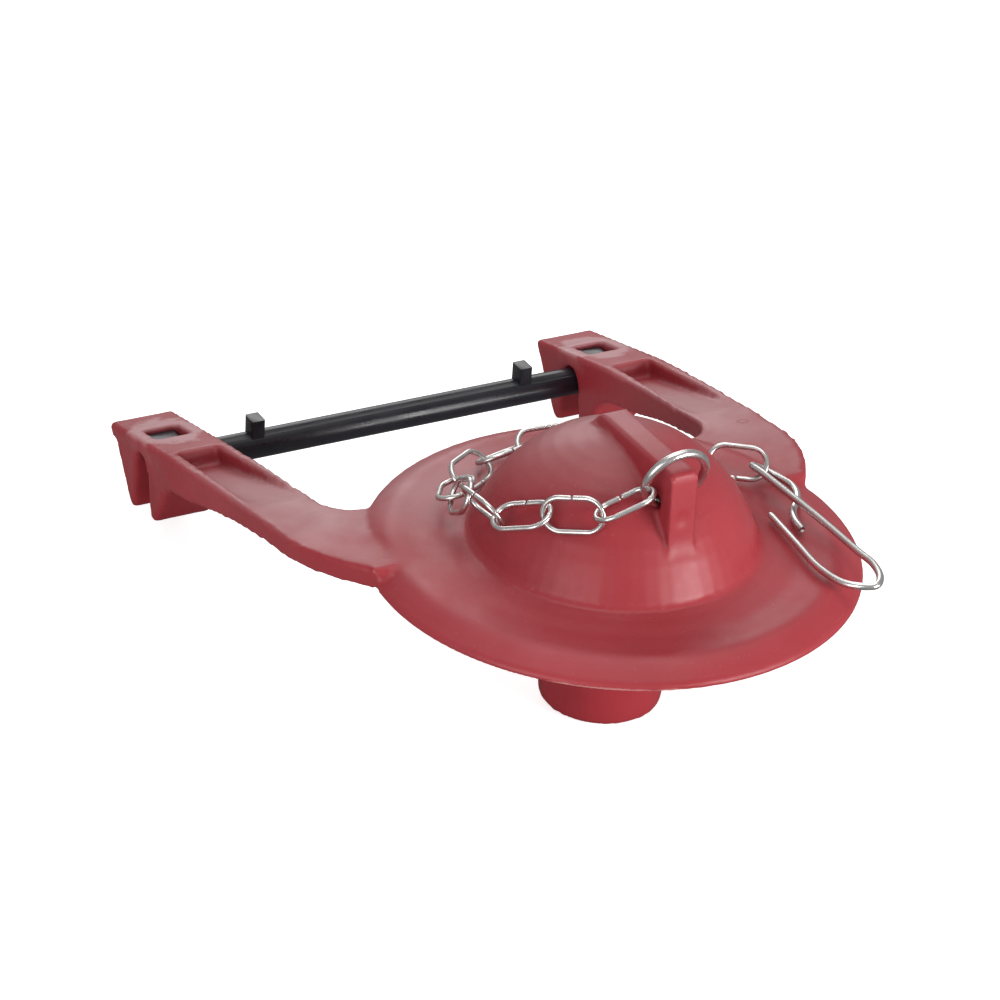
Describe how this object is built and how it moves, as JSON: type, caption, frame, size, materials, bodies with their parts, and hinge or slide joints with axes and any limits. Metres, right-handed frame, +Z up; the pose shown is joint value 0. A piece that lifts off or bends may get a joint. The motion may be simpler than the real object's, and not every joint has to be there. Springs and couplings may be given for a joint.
{
  "type": "toilet flapper",
  "caption": "Moulded flush-valve flapper with air dome, stem and two hooked arms on a crossbar, with a lifting ring, link chain and wire clip.",
  "frame": {"origin": "under the middle of the whole, level with the stem's foot", "axes": "+Z up along the disc's axis, +Y from the disc to the ears, X along the crossbar"},
  "size_m": [0.1224, 0.1636, 0.0681],
  "materials": {
    "rubber": "matt moulded rubber with a pale bloom",
    "plastic": "satin",
    "steel": "bright drawn wire"
  },
  "bodies": {
    "root": {"rubber_body": "rubber", "crossbar": "plastic", "fin_ring": "steel", "chain_link_01": "steel", "chain_link_02": "steel", "chain_link_03": "steel", "chain_link_04": "steel", "chain_link_05": "steel", "chain_link_06": "steel", "chain_link_07": "steel", "chain_link_08": "steel", "chain_link_09": "steel", "chain_link_10": "steel", "chain_link_11": "steel", "chain_link_12": "steel", "chain_link_13": "steel", "lever_clip": "steel"}
  },
  "joints": []
}
